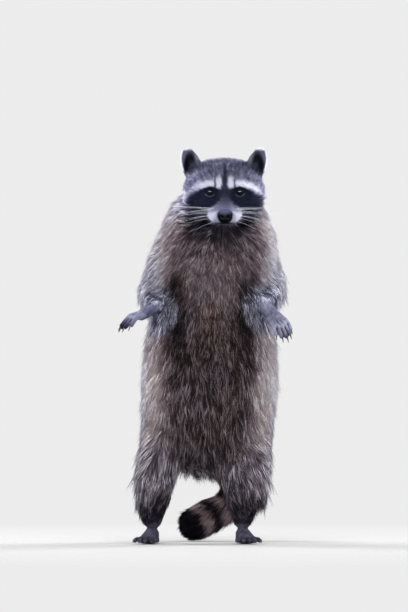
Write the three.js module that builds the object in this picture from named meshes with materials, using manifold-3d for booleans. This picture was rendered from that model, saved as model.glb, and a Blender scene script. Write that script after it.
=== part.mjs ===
// A life-size raccoon standing upright on its hind feet, forepaws held out to the sides, as a still model.
// Millimetres, +Z up, the animal faces -Y, and its own left is +X. The solids follow the outside of the coat.
import * as THREE from 'three';
import { LoftGeometry } from 'three/addons/geometries/LoftGeometry.js';
import { mergeVertices } from 'three/addons/utils/BufferGeometryUtils.js';
import Module from 'manifold-3d';

const wasm = await Module();
wasm.setup();

// ---------------------------------------------------------------- driving dimensions
const EAR_TIP = 701; // floor to the tips of the ears
const EYE_LEVEL = 620; // floor to the middle of the eyes
const EYE_SPACING = 52.8; // between the pupils
const EYE_RADIUS = 7.6;
const HEAD_X = 49.5; // the body leans to its left as it rises, so the head is over there
const HEAD_TURN = 1.8; // how far the face sits to the left of the back of the head
const NOSE_Y = -140; // tip of the muzzle, in front of the body's upright line
const FOOT_LENGTH = 106; // heel to the longest toe, without its claw
const FOREPAW_LENGTH = 74; // wrist to the longest fingertip, without its claw
const GAP = 0.3; // between pieces that meet
const DIGIT_SHARES = [0.66, 0.9, 1, 0.94, 0.75]; // lengths of the five digits, from the inner one out
const TOE_OUT = 0.14; // turn of each hind foot away from straight ahead, in radians

// ---------------------------------------------------------------- small helpers
const at = (x, y, z) => new THREE.Vector3(x, y, z);

// A point on a rounded section: wide sideways, high above and low below its middle; squareness 2 is an ellipse.
function sectionPoint(angle, wide, high, low, squareness) {
  const c = Math.cos(angle);
  const s = Math.sin(angle);
  const bend = (value) => Math.sign(value) * Math.abs(value) ** (2 / squareness);
  return [wide * bend(c), (s > 0 ? high : low) * bend(s)];
}

// A closed body skinned over sections along a smooth spine. Each station is [middle, wide, high, low], where high is
// towards `up` and low away from it. The ends are domes, or flat when domeRings is 0. `grow` swells the body all
// round, to carve a gap in a neighbour.
function tapered(stations, { up, sides = 14, steps = 10, dome = 0.7, domeRings = 2, squareness = 2, grow = 0 }) {
  const spine = new THREE.CatmullRomCurve3(stations.map(([middle]) => middle), false, 'centripetal');
  const girth = new THREE.CatmullRomCurve3(stations.map(([, wide, high = wide, low = high]) => at(wide, high, low)));
  const sections = [];
  const addSection = (t, scale, shift) => {
    const along = spine.getTangent(t);
    const across = at(0, 0, 0).crossVectors(up, along).normalize();
    const upward = at(0, 0, 0).crossVectors(along, across).normalize();
    const middle = spine.getPoint(t).addScaledVector(along, shift);
    const size = girth.getPoint(t).addScalar(grow).multiplyScalar(scale);
    const ring = [];
    for (let side = 0; side < sides; side++) {
      const angle = (2 * Math.PI * (side + 0.5)) / sides;
      const [x, y] = sectionPoint(angle, size.x, size.y, size.z, squareness);
      ring.push(middle.clone().addScaledVector(across, x).addScaledVector(upward, y));
    }
    sections.push(ring);
  };
  const addDome = (t, ring, direction) => {
    const size = girth.getPoint(t);
    const length = dome * Math.min(size.x, (size.y + size.z) / 2);
    const angle = domeRings === 1 ? 0.9 : [0.5, 1.15][ring];
    addSection(t, Math.sin(angle), direction * (grow + length * Math.cos(angle)));
  };
  for (let ring = 0; ring < domeRings; ring++) addDome(0, ring, -1);
  addSection(0, 1, -grow);
  for (let step = 1; step < steps; step++) addSection(step / steps, 1, 0);
  addSection(1, 1, grow);
  for (let ring = domeRings - 1; ring >= 0; ring--) addDome(1, ring, 1);
  return toSolid(new LoftGeometry(sections, { capStart: true, capEnd: true }));
}

function toSolid(geometry) {
  const bare = new THREE.BufferGeometry();
  bare.setAttribute('position', geometry.getAttribute('position'));
  bare.setIndex(geometry.index);
  const merged = mergeVertices(bare, 1e-3);
  return new wasm.Manifold(
    new wasm.Mesh({
      numProp: 3,
      vertProperties: merged.attributes.position.array,
      triVerts: new Uint32Array(merged.index.array),
    }),
  );
}

function ellipsoid(middle, radii, { tilt = 0, segments = 16, rings = 10 } = {}) {
  const geometry = new THREE.SphereGeometry(1, segments, rings);
  geometry.scale(radii.x, radii.y, radii.z);
  geometry.rotateX(tilt);
  geometry.translate(middle.x, middle.y, middle.z);
  return toSolid(geometry);
}

function slab(low, high) {
  const size = at(0, 0, 0).subVectors(high, low);
  const geometry = new THREE.BoxGeometry(size.x, size.y, size.z);
  geometry.translate(low.x + size.x / 2, low.y + size.y / 2, low.z + size.z / 2);
  return toSolid(geometry);
}

// Parts a solid across a plane through `point`, and leaves half the gap on each side of it.
function cutAcross(solid, point, normal) {
  const n = normal.clone().normalize();
  const offset = n.dot(point);
  return {
    ahead: largest(solid.trimByPlane([n.x, n.y, n.z], offset + GAP / 2)),
    behind: largest(solid.trimByPlane([-n.x, -n.y, -n.z], -offset + GAP / 2)),
  };
}

function largest(solid) {
  return solid.decompose().reduce((best, one) => (one.volume() > best.volume() ? one : best));
}

const join = (pieces) => pieces.reduce((whole, piece) => whole.add(piece));
const belowFloor = slab(at(-400, -400, -100), at(400, 400, 0));

// ---------------------------------------------------------------- trunk and neck
// [height, middle x, middle y, half width, depth in front, depth behind]
const TORSO = [
  [149, 12, 16, 60, 50, 62],
  [174, 14, 12, 95, 84, 92],
  [208, 18, 7, 119, 100, 99],
  [255, 21, 2, 123, 108, 100],
  [306, 24, 0, 124, 109, 98],
  [360, 24, 0, 119, 101, 95],
  [425, 25, 0, 108, 93, 91],
  [485, 29, 1, 104, 85, 86],
  [535, 37, 1, 109, 76, 79],
  [578, 42, -4, 96, 64, 70],
  [612, 48, -12, 74, 44, 56],
  [636, 49, -18, 46, 30, 40],
];

function torso(grow = 0) {
  const stations = TORSO.map(([z, x, y, wide, front, back]) => [at(x, y, z), wide, front, back]);
  return tapered(stations, { up: at(0, -1, 0), sides: 20, steps: 16, dome: 0.5, squareness: 2.25, grow });
}

// ---------------------------------------------------------------- head
// [distance behind the muzzle's tip, height of the middle, half width, rise above, drop below]
const HEAD = [
  [160, 620, 42, 38, 34],
  [136, 617, 64, 62, 46],
  [110, 613, 76, 73, 50],
  [88, 611, 72, 64, 49],
  [72, 606, 58, 43, 44],
  [57, 598, 40, 26, 36],
  [40, 586, 31, 19, 26],
  [20, 580, 27, 13.5, 18.5],
  [6, 577, 21.5, 12, 15],
];
const EYE_SETBACK = 4.4; // middle of the eyeball, behind the face's surface
const NOSE_MIDDLE = at(HEAD_X, NOSE_Y + 4, 577.5);
const NOSE_SIZE = at(14.3, 10, 13.8);

function skull(grow = 0) {
  const stations = HEAD.map(([back, z, wide, rise, drop]) => [
    at(HEAD_X - HEAD_TURN * Math.min(1, back / 110), NOSE_Y + back, z),
    wide,
    rise,
    drop,
  ]);
  return tapered(stations, { up: at(0, 0, 1), sides: 18, steps: 15, dome: 0.5, squareness: 2.4, grow });
}

// How far forward the face reaches at a place seen from the front.
function faceAt(x, z) {
  const probe = slab(at(x - 0.5, -300, z - 0.5), at(x + 0.5, 0, z + 0.5));
  return skull().intersect(probe).boundingBox().min[1];
}

const eyeX = (side) => HEAD_X + (side * EYE_SPACING) / 2;
const eyeY = faceAt(eyeX(1), EYE_LEVEL) + EYE_SETBACK;
const eyeball = (side, grow = 0) => {
  const r = EYE_RADIUS + grow;
  return ellipsoid(at(eyeX(side), eyeY, EYE_LEVEL), at(r, r, r), { segments: 12, rings: 7 });
};
const nosePad = (grow = 0) =>
  ellipsoid(NOSE_MIDDLE, NOSE_SIZE.clone().addScalar(grow), { tilt: -0.2, segments: 14, rings: 8 });

// Each nostril is a short slot in the front of the pad, with its comma tail turned outwards.
function nostril(side) {
  const middle = at(HEAD_X + side * 6, NOSE_Y - 5, 576);
  return ellipsoid(middle, at(2.6, 5, 2), { segments: 6, rings: 4 });
}

// The ears stand at the upper corners of the head, lean outwards and open forwards.
const EAR = { baseOut: 49, tipOut: 66, y: -40, baseZ: 640, wide: 19.5 };

function ear(side) {
  const x = (out) => HEAD_X - HEAD_TURN + side * out;
  const tip = EAR_TIP - 6;
  const outer = tapered(
    [
      [at(x(EAR.baseOut), EAR.y, EAR.baseZ), EAR.wide * 0.85, 12, 14],
      [at(x(EAR.baseOut + 5), EAR.y - 1, EAR.baseZ + 20), EAR.wide * 0.95, 10, 11],
      [at(x(EAR.baseOut + 12), EAR.y - 2, EAR.baseZ + 38), EAR.wide * 0.92, 6],
      [at(x(EAR.tipOut), EAR.y - 1, tip), EAR.wide * 0.5, 3.6],
    ],
    { up: at(0, -1, 0), sides: 12, steps: 6, dome: 1.2 },
  );
  const cup = tapered(
    [
      [at(x(EAR.baseOut + 4), EAR.y - 11, EAR.baseZ + 17), EAR.wide * 0.5, 9],
      [at(x(EAR.baseOut + 9), EAR.y - 12, EAR.baseZ + 32), EAR.wide * 0.66, 10],
      [at(x(EAR.tipOut - 2), EAR.y - 10, tip - 7), EAR.wide * 0.38, 5],
    ],
    { up: at(0, -1, 0), sides: 10, steps: 4, dome: 0.9, domeRings: 1 },
  );
  return outer.subtract(cup);
}

// ---------------------------------------------------------------- paws
// [share of the claw's length, half thickness]
const CLAW = [
  [0.2, 1.9],
  [0.6, 1.5],
  [1, 0.55],
];

// Digits fan out from the front of a palm or sole. `reach` points along the paw, `back` out of its upper surface.
function paw({ root, reach, back, palm, spread, longest, digitRadius, curl, clawLength, thumbSide }) {
  const along = reach.clone().normalize();
  const across = at(0, 0, 0).crossVectors(along, back).normalize().multiplyScalar(thumbSide);
  const upward = back.clone().addScaledVector(along, -back.dot(along)).normalize();
  const place = (a, c, u) =>
    root.clone().addScaledVector(along, a).addScaledVector(across, c).addScaledVector(upward, u);
  const flesh = [
    tapered(
      palm.map(([a, wide, high, low, u = 0]) => [place(a, 0, u), wide, high, low]),
      { up: upward, sides: 10, steps: 3, dome: 0.6, domeRings: 1, squareness: 2.3 },
    ),
  ];
  const [front, frontWide, , , frontUp = 0] = palm[palm.length - 1];
  const claws = [];
  const clawRooms = [];
  DIGIT_SHARES.forEach((share, digit) => {
    const turn = spread * (2 - digit); // the first digit is on the thumb's side
    const start = place(front - 6, (2 - digit) * frontWide * 0.42, frontUp);
    const out = along.clone().multiplyScalar(Math.cos(turn)).addScaledVector(across, Math.sin(turn));
    const length = longest * share + 6;
    const middle = start.clone().addScaledVector(out, length * 0.55).addScaledVector(upward, curl * 2.2);
    const tip = start.clone().addScaledVector(out, length).addScaledVector(upward, -curl * 1.2);
    const options = { up: upward, sides: 6, steps: 2, dome: 1, domeRings: 1 };
    flesh.push(
      tapered([[start, digitRadius], [middle, digitRadius * 0.92], [tip, digitRadius * 0.85]], options),
    );
    const heading = tip.clone().sub(middle).normalize();
    const claw = (grow) => {
      const stations = CLAW.map(([out, thick]) => [
        tip
          .clone()
          .addScaledVector(heading, clawLength * out)
          .addScaledVector(upward, digitRadius * 0.25 - clawLength * 0.34 * out * out),
        thick * 0.75,
        thick,
      ]);
      return tapered(stations, { up: upward, sides: 5, steps: 2, domeRings: 0, grow });
    };
    claws.push(claw(0));
    clawRooms.push(claw(GAP));
  });
  return { flesh: join(flesh), claws, clawRooms };
}

// ---------------------------------------------------------------- arms
const ARMS = {
  left: {
    side: 1,
    shoulder: at(91, -2, 522),
    elbow: at(127, 12, 448),
    wrist: at(117, -76, 426),
    reach: at(0.57, -0.2, -0.8),
    back: at(0.45, -0.8, 0.4),
  },
  right: {
    side: -1,
    shoulder: at(-29, -2, 520),
    elbow: at(-72, 12, 443),
    wrist: at(-69, -78, 420),
    reach: at(-0.86, -0.2, -0.48),
    back: at(-0.38, -0.28, 0.88),
  },
};
const between = (a, b, share) => a.clone().lerp(b, share);
const facing = (from, to) => to.clone().sub(from).normalize();

function arm({ side, shoulder, elbow, wrist, reach, back }, body) {
  const upper = tapered(
    [[shoulder, 54, 52], [between(shoulder, elbow, 0.5), 46, 46], [elbow, 38, 38]],
    { up: at(0, -1, 0), sides: 12, steps: 4 },
  );
  const lower = tapered(
    [
      [elbow, 37, 37],
      [between(elbow, wrist, 0.4).add(at(0, 0, -2)), 31, 28, 33],
      [between(elbow, wrist, 0.8), 18, 16, 20],
      [wrist, 13, 11],
    ],
    { up: at(0, 0, 1), sides: 12, steps: 5 },
  );
  const hand = paw({
    root: wrist,
    reach,
    back,
    palm: [[-4, 11, 9.5, 9.5], [14, 12, 8.5, 9], [FOREPAW_LENGTH / 2, 14, 7, 7.5]],
    spread: 0.075,
    longest: FOREPAW_LENGTH / 2,
    digitRadius: 4,
    curl: 2,
    clawLength: 10,
    thumbSide: side,
  });
  const whole = join([upper, lower, hand.flesh]).subtract(body).subtract(join(hand.clawRooms));
  const upperDirection = facing(shoulder, elbow);
  const lowerDirection = facing(elbow, wrist);
  const elbowCut = cutAcross(whole, elbow, upperDirection.add(lowerDirection));
  const wristCut = cutAcross(elbowCut.ahead, wrist, lowerDirection.clone().add(reach.clone().normalize()));
  return { upper: elbowCut.behind, lower: wristCut.behind, hand: wristCut.ahead, claws: hand.claws };
}

// ---------------------------------------------------------------- legs
const LEGS = {
  left: { side: 1, hip: at(78, 16, 222), knee: at(85, -38, 130), ankle: at(81, 20, 37), kneeWide: 50 },
  right: { side: -1, hip: at(-40, 16, 222), knee: at(-72, -38, 130), ankle: at(-79, 20, 37), kneeWide: 42 },
};

function leg({ side, hip, knee, ankle, kneeWide }, body) {
  const thigh = tapered(
    [[hip, 62, 76, 80], [between(hip, knee, 0.5), 22 + 0.7 * kneeWide, 60, 70], [knee, kneeWide, 43, 50]],
    { up: at(0, -1, 0), sides: 12, steps: 4 },
  );
  const shank = tapered(
    [
      [knee, kneeWide - 1, 42, 50],
      [between(knee, ankle, 0.4), kneeWide * 0.82, 35, 40],
      [between(knee, ankle, 0.75), 22, 21, 26],
      [ankle, 16.5, 15, 18],
    ],
    { up: at(0, -1, 0), sides: 12, steps: 5 },
  );
  const reach = at(side * Math.sin(TOE_OUT), -Math.cos(TOE_OUT), 0);
  const heel = ankle.clone().addScaledVector(reach, -14).setZ(0);
  const foot = paw({
    root: heel,
    reach,
    back: at(0, 0, 1),
    palm: [[4, 12, 17, 14, 12], [26, 13, 17, 14, 12], [46, 15, 13, 12, 10], [FOOT_LENGTH * 0.62, 18, 9, 9, 7]],
    spread: 0.085,
    longest: FOOT_LENGTH * 0.31,
    digitRadius: 5.4,
    curl: 0.8,
    clawLength: 9,
    thumbSide: side,
  });
  const flesh = join([thigh, shank, foot.flesh]);
  const whole = flesh.subtract(body).subtract(join(foot.clawRooms)).subtract(belowFloor);
  const kneeCut = cutAcross(whole, knee, at(0, 0, -1));
  const ankleCut = cutAcross(kneeCut.ahead, ankle, at(0, -0.15, -1));
  return { upper: kneeCut.behind, lower: ankleCut.behind, foot: ankleCut.ahead, claws: foot.claws };
}

// ---------------------------------------------------------------- tail
// It drops from the rump behind the left leg, then lies across behind the feet with its tip to the right.
const TAIL = [
  [at(14, 84, 160), 24],
  [at(46, 122, 134), 28],
  [at(72, 139, 104), 31],
  [at(72, 139, 80), 32],
  [at(48, 126, 61), 33],
  [at(20, 112, 45), 33.5],
  [at(-7, 100, 30), 32],
];
const TAIL_CUTS = [0.42, 0.72];

function tail(body) {
  const spine = new THREE.CatmullRomCurve3(TAIL.map(([middle]) => middle), false, 'centripetal');
  let rest = tapered(TAIL, { up: at(0.5, -0.8, 0.3), sides: 12, steps: 10, dome: 0.9 })
    .subtract(body)
    .subtract(belowFloor);
  const lengths = [];
  for (const share of TAIL_CUTS) {
    const cut = cutAcross(largest(rest), spine.getPoint(share), spine.getTangent(share));
    lengths.push(cut.behind);
    rest = cut.ahead;
  }
  return [...lengths, rest];
}

// ---------------------------------------------------------------- looks
const LOOKS = {
  head_coat: [0x8f8c96, 0.85],
  neck_coat: [0x86818c, 0.9],
  trunk_coat: [0x6b636a, 0.9],
  arm_coat: [0x8d8994, 0.9],
  leg_coat: [0x5c5660, 0.9],
  tail_coat: [0x4a4044, 0.9],
  ear_coat: [0x55535c, 0.85],
  paw_coat: [0x77757f, 0.75],
  nose_leather: [0x141519, 0.35],
  eye: [0x0b0908, 0.08],
  claw: [0x1d1b1c, 0.4],
};
const materials = Object.fromEntries(
  Object.entries(LOOKS).map(([look, [color, roughness]]) => [
    look,
    new THREE.MeshStandardMaterial({ color, roughness, metalness: 0 }),
  ]),
);

// Adds a solid to a group as a named mesh, which turns and moves about its own middle.
function addMesh(group, name, solid, look) {
  const { vertProperties, triVerts } = solid.getMesh();
  const geometry = new THREE.BufferGeometry();
  geometry.setAttribute('position', new THREE.BufferAttribute(vertProperties, 3));
  geometry.setIndex(new THREE.BufferAttribute(triVerts, 1));
  geometry.computeBoundingBox();
  const middle = geometry.boundingBox.getCenter(at(0, 0, 0));
  geometry.translate(-middle.x, -middle.y, -middle.z);
  geometry.computeVertexNormals();
  const mesh = new THREE.Mesh(geometry, materials[look]);
  mesh.name = name;
  mesh.position.copy(middle);
  group.add(mesh);
}

// ---------------------------------------------------------------- assembly
// The head and neck part along sloping planes through the one continuous body.
const HEAD_PLANE = { point: at(HEAD_X, -26, 612), normal: at(0, -0.82, 0.57) };
const NECK_PLANE = { point: at(30, 0, 528), normal: at(0.06, -0.12, 1) };
const bodyRoom = torso(GAP);

function buildBody() {
  const group = new THREE.Group();
  const { ahead: front, behind } = cutAcross(torso().add(skull()), HEAD_PLANE.point, HEAD_PLANE.normal);
  const { ahead: neck, behind: trunk } = cutAcross(behind, NECK_PLANE.point, NECK_PLANE.normal);
  const faceRooms = join([eyeball(-1, GAP), eyeball(1, GAP), nosePad(GAP)]);
  addMesh(group, 'head', front.subtract(faceRooms), 'head_coat');
  addMesh(group, 'neck', neck, 'neck_coat');
  addMesh(group, 'trunk', trunk, 'trunk_coat');
  addMesh(group, 'nose', nosePad().subtract(nostril(-1)).subtract(nostril(1)), 'nose_leather');
  const headRoom = skull(GAP).add(bodyRoom);
  for (const [name, side] of [['left', 1], ['right', -1]]) {
    addMesh(group, `eye_${name}`, eyeball(side), 'eye');
    addMesh(group, `ear_${name}`, largest(ear(side).subtract(headRoom)), 'ear_coat');
  }
  return group;
}

function buildArm(name) {
  const group = new THREE.Group();
  const { upper, lower, hand, claws } = arm(ARMS[name], bodyRoom);
  addMesh(group, `upper_arm_${name}`, upper, 'arm_coat');
  addMesh(group, `forearm_${name}`, lower, 'arm_coat');
  addMesh(group, `hand_${name}`, hand, 'paw_coat');
  claws.forEach((claw, i) => addMesh(group, `hand_claw_${name}_${i + 1}`, claw, 'claw'));
  return group;
}

function buildLeg(name) {
  const group = new THREE.Group();
  const { upper, lower, foot, claws } = leg(LEGS[name], bodyRoom);
  addMesh(group, `thigh_${name}`, upper, 'leg_coat');
  addMesh(group, `shank_${name}`, lower, 'leg_coat');
  addMesh(group, `foot_${name}`, foot, 'paw_coat');
  claws.forEach((claw, i) => addMesh(group, `foot_claw_${name}_${i + 1}`, claw, 'claw'));
  return group;
}

function buildTail() {
  const group = new THREE.Group();
  const names = ['tail_base', 'tail_middle', 'tail_tip'];
  tail(bodyRoom).forEach((length, i) => addMesh(group, names[i], length, 'tail_coat'));
  return group;
}

// The origin is on the floor, under the middle of the whole animal.
const animal = new THREE.Group();
animal.add(buildBody(), buildArm('left'), buildArm('right'), buildLeg('left'), buildLeg('right'), buildTail());
const middle = new THREE.Box3().setFromObject(animal, true).getCenter(at(0, 0, 0));
animal.position.set(-middle.x, -middle.y, 0);

const raccoon = new THREE.Group();
raccoon.add(animal);

export default raccoon;
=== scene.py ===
import math

import bpy
import numpy as np
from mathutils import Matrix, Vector
from mathutils.bvhtree import BVHTree
from mathutils.kdtree import KDTree


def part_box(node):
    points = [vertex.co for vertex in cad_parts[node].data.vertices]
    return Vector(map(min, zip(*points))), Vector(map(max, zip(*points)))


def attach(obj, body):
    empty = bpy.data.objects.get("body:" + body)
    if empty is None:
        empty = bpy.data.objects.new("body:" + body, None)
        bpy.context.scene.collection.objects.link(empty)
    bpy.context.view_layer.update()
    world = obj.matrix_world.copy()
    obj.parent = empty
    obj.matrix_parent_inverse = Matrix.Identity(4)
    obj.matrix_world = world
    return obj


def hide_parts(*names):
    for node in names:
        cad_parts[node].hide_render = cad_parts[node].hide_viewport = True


# A raccoon on its hind legs, life size, as a museum would show it. Metres; x to its left, -y ahead,
# z up. Shaping is worked in millimetres (MM) and written to the meshes in metres.

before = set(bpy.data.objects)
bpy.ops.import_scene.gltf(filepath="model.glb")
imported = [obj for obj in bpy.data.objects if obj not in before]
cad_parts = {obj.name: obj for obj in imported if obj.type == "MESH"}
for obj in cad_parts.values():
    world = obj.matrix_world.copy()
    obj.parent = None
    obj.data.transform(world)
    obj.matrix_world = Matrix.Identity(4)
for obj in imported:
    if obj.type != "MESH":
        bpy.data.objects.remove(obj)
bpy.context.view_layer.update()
MM = 0.001
DENSITY = 1.0
OUT = {"left": 1.0, "right": -1.0}
SIDES = tuple(OUT)
DIGITS = range(1, 6)


# Small helpers

def box_mm(name):
    low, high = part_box(name)
    return np.array(low) / MM, np.array(high) / MM


def middle(name):
    low, high = box_mm(name)
    return (low + high) / 2


def soft(start, end, value):
    """0 at start, 1 at end, eased between them."""
    t = np.clip((value - start) / (end - start), 0, 1)
    return t * t * (3 - 2 * t)


def blob(value, centre, spread):
    return np.exp(-(((value - centre) / spread) ** 2))


def oval(u, v, centre, radii, start, end):
    """1 inside an oval and 0 outside it, eased between those two shares of its radii."""
    return soft(start, end, np.hypot((u - centre[0]) / radii[0], (v - centre[1]) / radii[1]))


def toward(value, target, amount):
    """value moved by that share of the way to the target."""
    return value + (target - value) * amount


def unit(v):
    return v / np.maximum(np.linalg.norm(v, axis=-1, keepdims=True), 1e-9)


def dot(a, b):
    return np.sum(a * b, axis=-1)


def distance(p, spot):
    return np.linalg.norm(p - spot, axis=1)


def columns(*values):
    """One row for each point from these columns, any of which may be a single number."""
    return np.stack(np.broadcast_arrays(*values), 1)


def ripple(p, size, seed):
    """Smooth noise from -1 to 1 that repeats nowhere near, about size mm between swells."""
    rng = np.random.default_rng(seed)
    total = np.zeros(len(p))
    for _ in range(5):
        d = unit(rng.normal(size=3)) * rng.uniform(0.7, 1.4)
        total += np.sin(p @ d * (2 * math.pi / size) + rng.uniform(0, 6.28))
    return total / 2.6


def mode(name):
    bpy.ops.object.mode_set(mode=name)


def pick(*objects):
    bpy.ops.object.select_all(action="DESELECT")
    for o in objects:
        o.select_set(True)
    if objects:
        bpy.context.view_layer.objects.active = objects[-1]


def active():
    return bpy.context.view_layer.objects.active


def link(name, data):
    """A new object of the scene with this data."""
    o = bpy.data.objects.new(name, data)
    bpy.context.scene.collection.objects.link(o)
    return o


def copy_of(nodes, name):
    """A new joined and welded piece with the shape of these nodes."""
    copies = [link(name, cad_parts[n].data.copy()) for n in nodes]
    for c in copies:
        c.data.materials.clear()
    pick(*copies)
    if len(copies) > 1:
        bpy.ops.object.join()
    piece = active()
    piece.name = piece.data.name = name
    mode("EDIT")
    bpy.ops.mesh.select_all(action="SELECT")
    bpy.ops.mesh.remove_doubles(threshold=0.01 * MM)
    bpy.ops.mesh.normals_make_consistent(inside=False)
    mode("OBJECT")
    return piece


def modify(piece, kind, **settings):
    pick(piece)
    m = piece.modifiers.new(kind.lower(), kind)
    for key, value in settings.items():
        setattr(m, key, value)
    bpy.ops.object.modifier_apply(modifier=m.name)


def dress(piece, material, slot, *replaced):
    """Gives a finished piece its material and its body, and hides the nodes that it stands for; slot is not
    used.
    """
    piece.data.materials.append(material)
    pick(piece)
    bpy.ops.object.shade_smooth()
    if replaced:
        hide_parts(*replaced)
    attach(piece, "root")


def read(items, what, width=3, kind=np.float32):
    values = np.empty(len(items) * width, kind)
    items.foreach_get(what, values)
    return values.reshape(-1, width)


def write(items, what, values, kind=np.float32):
    items.foreach_set(what, values.astype(kind).ravel())


def points_of(mesh):
    return read(mesh.vertices, "co").astype(float) / MM


def put_points(mesh, p):
    write(mesh.vertices, "co", p * MM)
    mesh.update()


def normals_of(mesh):
    return read(mesh.vertex_normals, "vector").astype(float)


def evened(values, edges, rounds, hold=0.4):
    """values averaged with their neighbours along the mesh's edges, again and again."""
    values = np.array(values, float)
    flat = values.reshape(len(values), -1)
    a, b = edges[:, 0], edges[:, 1]
    n = len(flat)
    count = np.maximum(np.bincount(a, minlength=n) + np.bincount(b, minlength=n), 1)
    for _ in range(rounds):
        for k in range(flat.shape[1]):
            column = flat[:, k]
            total = np.bincount(a, column[b], n) + np.bincount(b, column[a], n)
            flat[:, k] = hold * column + (1 - hold) * total / count
    return flat.reshape(values.shape)


# Places on the body, from the frame

def pair(left, right):
    return {"left": np.array(left, float), "right": np.array(right, float)}


EYE = {side: middle("eye_" + side) for side in SIDES}
EYE_RADIUS = (box_mm("eye_left")[1][0] - box_mm("eye_left")[0][0]) / 2
FACE_X = (EYE["left"][0] + EYE["right"][0]) / 2
EYE_Z = EYE["left"][2]
NOSE = middle("nose")
NOSE_HALF = (box_mm("nose")[1] - box_mm("nose")[0]) / 2
NOSE_TIP = np.array([NOSE[0], box_mm("nose")[0][1], NOSE[2] + 2])
MIDDLE_X = 12  # between the limbs of the two sides
SHOULDER = pair((76, -14, 522), (-44, -14, 520))
ELBOW = pair((112, 0, 448), (-87, 0, 443))
WRIST = pair((102, -88, 426), (-84, -90, 420))
REACH = pair((0.57, -0.2, -0.8), (-0.86, -0.2, -0.48))  # which way each hand points
HIP_X = {"left": 70, "right": -88}
TAIL_LINE = np.array([(-1, 71, 160), (31, 109, 134), (57, 126, 104), (57, 126, 80),
                      (33, 113, 61), (5, 99, 45), (-22, 87, 30), (-46, 77, 18)], float)
# the middle and half width of the trunk at each height
TRUNK_Z = (149, 208, 306, 425, 535, 578, 632)
TRUNK_X = (-3, 3, 9, 10, 22, 27, 34)
TRUNK_HALF = (80, 119, 124, 108, 109, 96, 50)

NODES = {"head": ["head"], "ear": ["ear_left", "ear_right"], "neck": ["neck"], "trunk": ["trunk"],
         "arm": [a + s for a in ("upper_arm_", "forearm_") for s in SIDES],
         "hand": ["hand_left", "hand_right"],
         "leg": [a + s for a in ("thigh_", "shank_") for s in SIDES],
         "foot": ["foot_left", "foot_right"],
         "tail": ["tail_base", "tail_middle", "tail_tip"]}
PARTS = tuple(NODES)
FLESH = [n for part in PARTS for n in NODES[part]]


def is_part(which, *names):
    return np.isin(which, [PARTS.index(n) for n in names])


def is_node(which, *names):
    return np.isin(which, [FLESH.index(n) for n in names])


def between_digits(p, limb, side):
    """1 in the furrows between neighbouring digits, 0 along the digits and over the palm or sole."""
    claws = np.array([middle(f"{limb}_claw_{side}_{digit}") for digit in DIGITS])
    back = -unit(REACH[side]) * 34 if limb == "hand" else np.array([0, 30.0, 5.0])
    roots = claws.mean(0) + (claws - claws.mean(0)) * 0.72 + back
    gaps = []
    for root, claw in zip(roots, claws):
        line = claw - root
        t = np.clip((p - root) @ line / (line @ line), 0, 1)
        gaps.append(np.linalg.norm(p - root - t[:, None] * line, axis=1))
    gaps = np.sort(gaps, axis=0)
    along = (p - roots.mean(0)) @ unit(-back)
    return soft(2.2, 0.3, gaps[1] - gaps[0]) * soft(0, 8, along) * soft(14, 9, gaps[0])


def cuff_on(p, side):
    """1 where the long pale hair of the forearm spreads over the front of the body round the wrist."""
    u, v = (p[:, 0] - WRIST[side][0]) / 39, (p[:, 2] - WRIST[side][2] + 5) / 41
    return soft(1.2, 0.75, np.hypot(u, v)) * soft(-20, -40, p[:, 1])


def tail_place(p):
    """How far along the tail each point is, 0 at the root and 1 at the tip, the tail's direction
    there and its nearest middle."""
    a, b = TAIL_LINE[:-1], TAIL_LINE[1:]
    step = np.linalg.norm(b - a, axis=1)
    start = np.concatenate([[0], np.cumsum(step)])
    best, place = np.full(len(p), 1e9), np.zeros(len(p))
    way, centre = np.zeros((len(p), 3)), np.zeros((len(p), 3))
    for i in range(len(a)):
        d = (b[i] - a[i]) / step[i]
        t = np.clip((p - a[i]) @ d, 0, step[i])
        foot = a[i] + t[:, None] * d
        gap = distance(p, foot)
        nearer = gap < best
        best[nearer] = gap[nearer]
        place[nearer] = (start[i] + t[nearer]) / start[-1]
        way[nearer] = d
        centre[nearer] = foot[nearer]
    return place, way, centre


def side_of(p):
    return np.where(p[:, 0] > MIDDLE_X, 1.0, -1.0)


def eye_gap(p):
    return np.minimum(distance(p, EYE["left"]), distance(p, EYE["right"]))


# The coat's plan. Places are measured from the nose's tip (r), the middle of the face (a), eye
# level (b) and the trunk's middle line (s).

HEAD_AT = (0, 14, 30, 55, 85, 130, 170)  # distances from the tip of the nose
HEAD_LENGTH = (1.6, 2.4, 3.4, 5.4, 7.0, 9.0, 17)
LEG_Z = (35, 60, 85, 110, 160, 240)
LEG_DEPTH = (0.6, 1.8, 4.8, 9.0, 13, 14.5)
LEG_LENGTH = (9, 17, 29, 41, 46, 42)


def lay(plan, where, *values):
    """Sets the coat's depth, length, width, freedom and lie there; None leaves one as it is."""
    for kept, value in zip(plan, values):
        if value is not None:
            kept[where] = np.broadcast_to(value, kept.shape)[where]


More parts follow.
